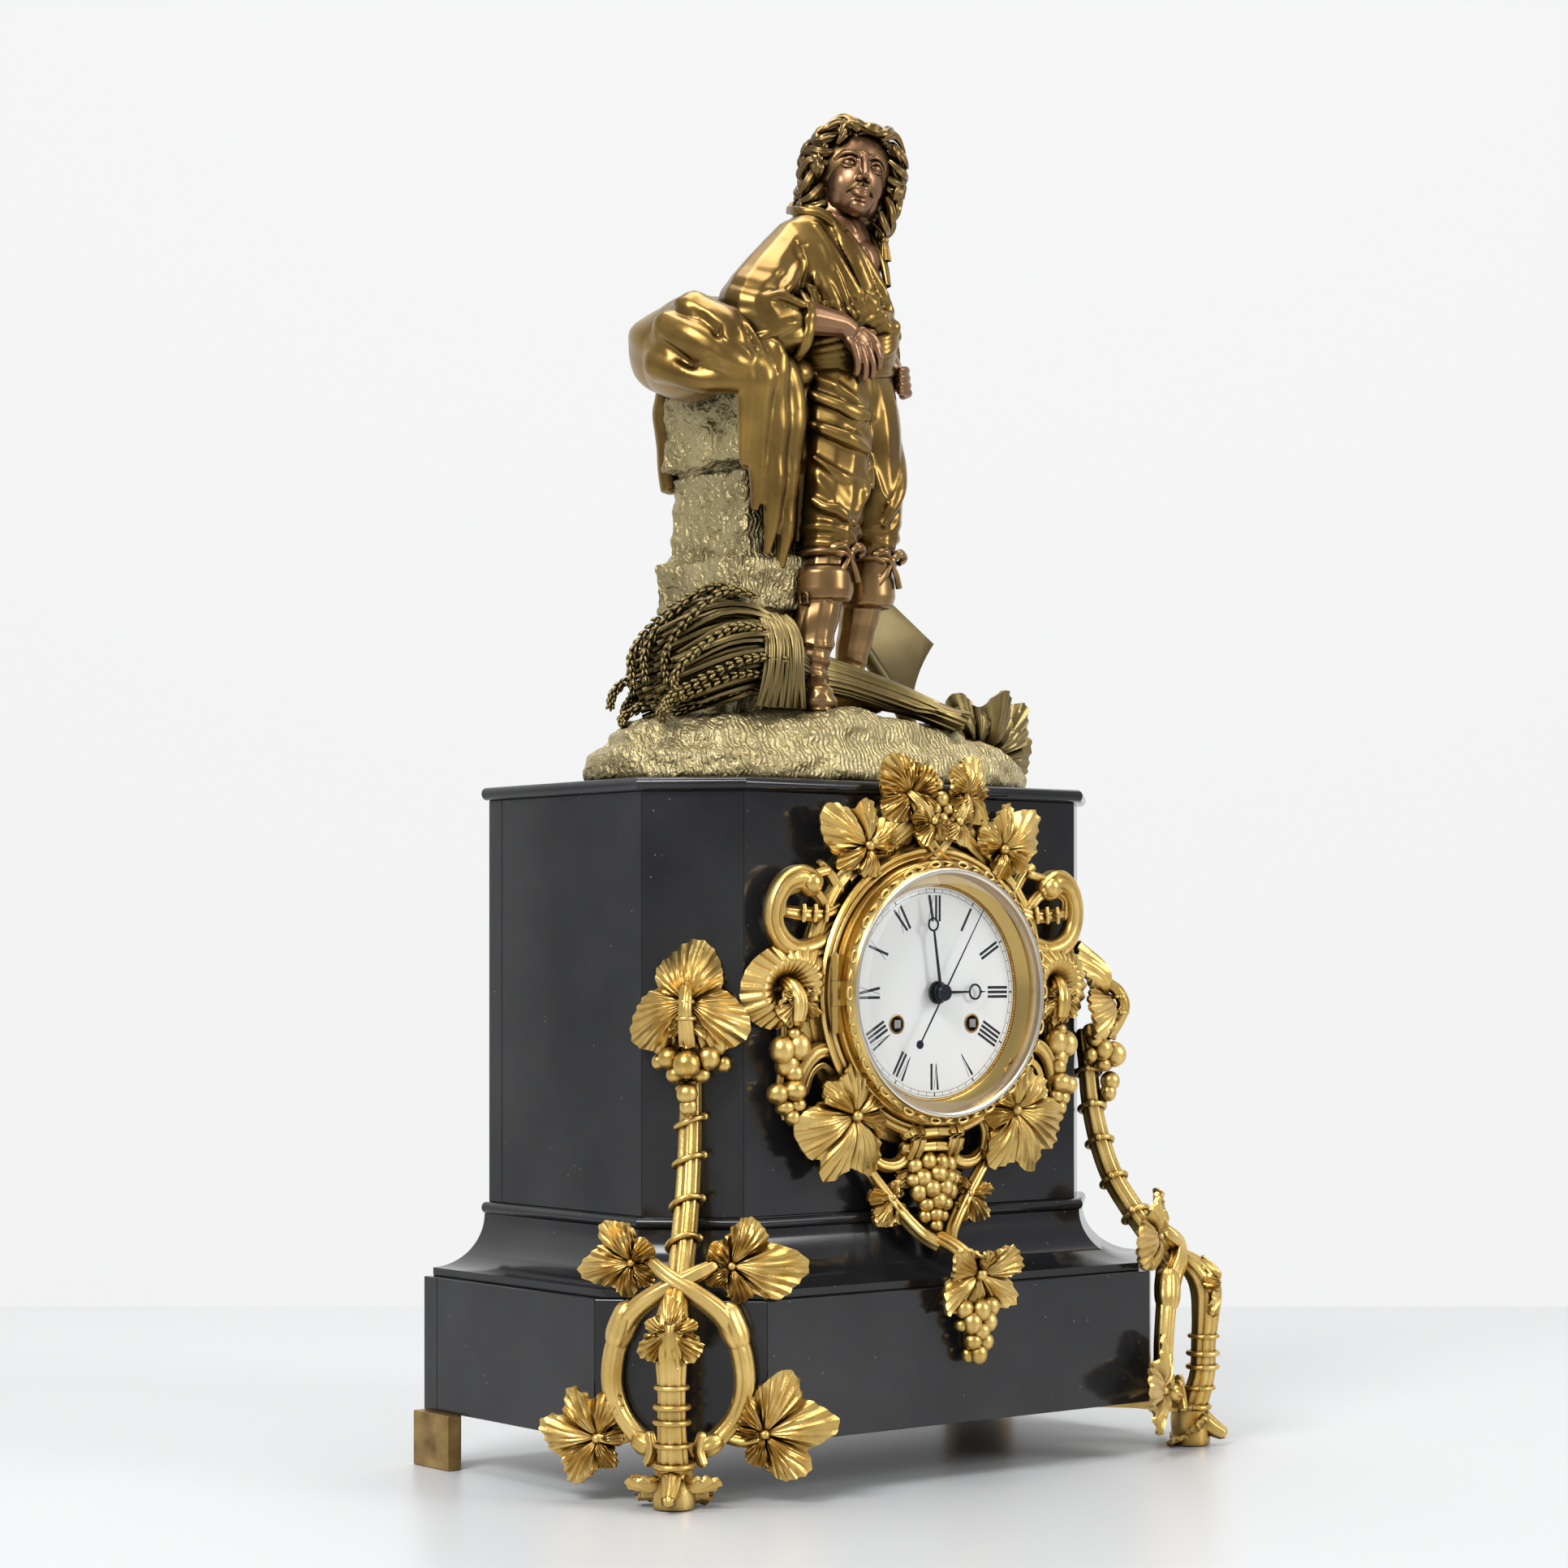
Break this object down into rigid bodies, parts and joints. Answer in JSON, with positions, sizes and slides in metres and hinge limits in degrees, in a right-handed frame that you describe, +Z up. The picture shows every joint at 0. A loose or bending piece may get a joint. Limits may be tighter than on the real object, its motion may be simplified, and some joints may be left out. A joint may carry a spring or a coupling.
{
  "type": "mantel clock",
  "caption": "Black marble striking mantel clock with gilt vine mounts, glazed enamel dial, spring movement, bell, short pendulum and a bronze harvester leaning on a stone pillar.",
  "frame": {"origin": "middle of the bounding box, on the surface the clock stands on", "axes": "+Z up, the dial faces -Y, +X to the viewer's right"},
  "size_m": [0.4042, 0.2486, 0.691],
  "materials": {
    "black_marble": "polished",
    "gilt_bronze": "matt and burnished gilding",
    "white_enamel": "fired enamel",
    "clear_glass": "polished",
    "blued_steel": "blued",
    "patinated_bronze": "brown patina, rubbed on the heights",
    "steel": "polished",
    "bell_metal": "turned",
    "brass": "lacquered"
  },
  "bodies": {
    "case": {"plinth_front_slab": "black_marble", "plinth_corner_slabs": "black_marble", "plinth_side_slabs": "black_marble", "plinth_back_slab": "black_marble", "scotia_moulding": "black_marble", "bead_slab": "black_marble", "front_slab": "black_marble", "corner_slabs": "black_marble", "side_slabs": "black_marble", "back_slab": "black_marble", "cap_slab": "black_marble", "rear_feet": "brass", "dial_frame_mount": "gilt_bronze", "drop_mount": "gilt_bronze", "corner_mount_left": "gilt_bronze", "corner_mount_right": "gilt_bronze", "front_bezel_ring": "gilt_bronze", "enamel_dial": "white_enamel", "hinge_pins": "steel", "front_plate": "brass", "back_plate": "brass", "plate_pillars": "brass", "movement_straps": "steel", "strap_screws": "steel", "suspension_cock": "brass", "bell": "bell_metal", "bell_stand": "brass", "back_bezel_ring": "brass", "figure": "patinated_bronze", "rock_base": "patinated_bronze", "cloak": "patinated_bronze", "wheat_sheaf": "patinated_bronze", "spade": "patinated_bronze", "leaf_plant": "patinated_bronze"},
    "bezel_door": {"bezel_door_ring": "gilt_bronze", "bezel_glass": "clear_glass"},
    "rear_door": {"back_door": "brass"},
    "seconds": {"seconds_arbor": "steel", "seconds_hand": "blued_steel"},
    "centre": {"centre_arbor": "brass"},
    "intermediate": {"intermediate_wheel": "brass"},
    "third": {"third_wheel": "brass"},
    "escape": {"escape_wheel": "brass"},
    "going_barrel_body": {"going_barrel": "brass"},
    "going_arbor": {"going_winding_arbor": "steel"},
    "minute": {"cannon_pinion": "brass", "minute_hand": "blued_steel"},
    "minute_wheel_body": {"minute_wheel": "brass"},
    "hour": {"hour_wheel": "brass", "hour_hand": "blued_steel"},
    "strike_pin": {"strike_pin_wheel": "steel"},
    "strike_barrel_body": {"strike_barrel": "brass"},
    "strike_arbor": {"strike_winding_arbor": "steel"},
    "locking": {"strike_locking_wheel": "steel"},
    "fly_body": {"fly": "brass"},
    "anchor": {"pallets": "steel"},
    "pendulum": {"pendulum_rod": "steel", "pendulum_bob": "brass"},
    "hammer_body": {"hammer": "steel"}
  },
  "joints": [
    {"name": "bezel_door_swing", "type": "hinge", "parent": "case", "child": "bezel_door", "pos_m": [-0.0682, -0.07785, 0.2375], "axis": [0, 0, -1], "range_deg": [0, 100]},
    {"name": "rear_door_swing", "type": "hinge", "parent": "case", "child": "rear_door", "pos_m": [0.0625, 0.1169, 0.2375], "axis": [0, 0, -1], "range_deg": [0, 110]},
    {"name": "seconds_turn", "type": "hinge", "parent": "case", "child": "seconds", "pos_m": [0, -0.0797, 0.2375], "axis": [0, 1, 0], "continuous": true},
    {"name": "third_turn", "type": "hinge", "parent": "case", "child": "third", "pos_m": [0.01754, -0.0507, 0.24763], "axis": [0, 1, 0], "continuous": true},
    {"name": "centre_turn", "type": "hinge", "parent": "case", "child": "centre", "pos_m": [0, -0.0537, 0.2375], "axis": [0, 1, 0], "continuous": true},
    {"name": "intermediate_turn", "type": "hinge", "parent": "case", "child": "intermediate", "pos_m": [0.0047, -0.0587, 0.21775], "axis": [0, 1, 0], "continuous": true},
    {"name": "going_barrel_turn", "type": "hinge", "parent": "case", "child": "going_barrel_body", "pos_m": [0.0245, -0.0397, 0.222], "axis": [0, 1, 0], "continuous": true},
    {"name": "escape_turn", "type": "hinge", "parent": "case", "child": "escape", "pos_m": [0, -0.0387, 0.2585], "axis": [0, 1, 0], "continuous": true},
    {"name": "minute_turn", "type": "hinge", "parent": "case", "child": "minute", "pos_m": [0, -0.0772, 0.2375], "axis": [0, 1, 0], "continuous": true},
    {"name": "minute_wheel_turn", "type": "hinge", "parent": "case", "child": "minute_wheel_body", "pos_m": [0, -0.0657, 0.2255], "axis": [0, 1, 0], "continuous": true},
    {"name": "hour_turn", "type": "hinge", "parent": "case", "child": "hour", "pos_m": [0, -0.0747, 0.2375], "axis": [0, 1, 0], "continuous": true},
    {"name": "going_wind", "type": "hinge", "parent": "case", "child": "going_arbor", "pos_m": [0.0245, -0.0637, 0.222], "axis": [0, 1, 0], "range_deg": [0, 1440]},
    {"name": "strike_wind", "type": "hinge", "parent": "case", "child": "strike_arbor", "pos_m": [-0.0245, -0.0637, 0.222], "axis": [0, 1, 0], "range_deg": [0, 1440]},
    {"name": "pin_wheel_turn", "type": "hinge", "parent": "case", "child": "strike_pin", "pos_m": [-0.03753, -0.0567, 0.2375], "axis": [0, 1, 0], "continuous": true},
    {"name": "strike_barrel_turn", "type": "hinge", "parent": "case", "child": "strike_barrel_body", "pos_m": [-0.0245, -0.0397, 0.222], "axis": [0, 1, 0], "continuous": true},
    {"name": "locking_turn", "type": "hinge", "parent": "case", "child": "locking", "pos_m": [-0.02961, -0.0407, 0.24542], "axis": [0, 1, 0], "continuous": true},
    {"name": "fly_turn", "type": "hinge", "parent": "case", "child": "fly_body", "pos_m": [-0.02524, -0.0357, 0.253], "axis": [0, 1, 0], "continuous": true},
    {"name": "pendulum_swing", "type": "hinge", "parent": "case", "child": "pendulum", "pos_m": [0, -0.0197, 0.272], "axis": [0, 1, 0], "range_deg": [-3, 3]},
    {"name": "pallets_rock", "type": "hinge", "parent": "case", "child": "anchor", "pos_m": [0, -0.0387, 0.272], "axis": [0, 1, 0], "range_deg": [-3, 3]},
    {"name": "hammer_lift", "type": "hinge", "parent": "case", "child": "hammer_body", "pos_m": [-0.036, 0.0193, 0.2135], "axis": [0, -1, 0], "range_deg": [0, 10], "stiffness_Nm_per_rad": 0.01, "springref_deg": -8.59}
  ],
  "couplings": [
    {"joint": "third_turn", "follows": "seconds_turn", "ratio": -0.13333},
    {"joint": "centre_turn", "follows": "seconds_turn", "ratio": 0.016667},
    {"joint": "intermediate_turn", "follows": "seconds_turn", "ratio": -0.0027778},
    {"joint": "going_barrel_turn", "follows": "seconds_turn", "ratio": 0.00034722},
    {"joint": "escape_turn", "follows": "seconds_turn", "ratio": -6},
    {"joint": "minute_wheel_turn", "follows": "minute_turn", "ratio": -0.33333},
    {"joint": "hour_turn", "follows": "minute_turn", "ratio": 0.083333},
    {"joint": "strike_barrel_turn", "follows": "pin_wheel_turn", "ratio": -0.125},
    {"joint": "locking_turn", "follows": "pin_wheel_turn", "ratio": -6},
    {"joint": "fly_turn", "follows": "pin_wheel_turn", "ratio": 31.5},
    {"joint": "pallets_rock", "follows": "pendulum_swing", "ratio": 1}
  ]
}
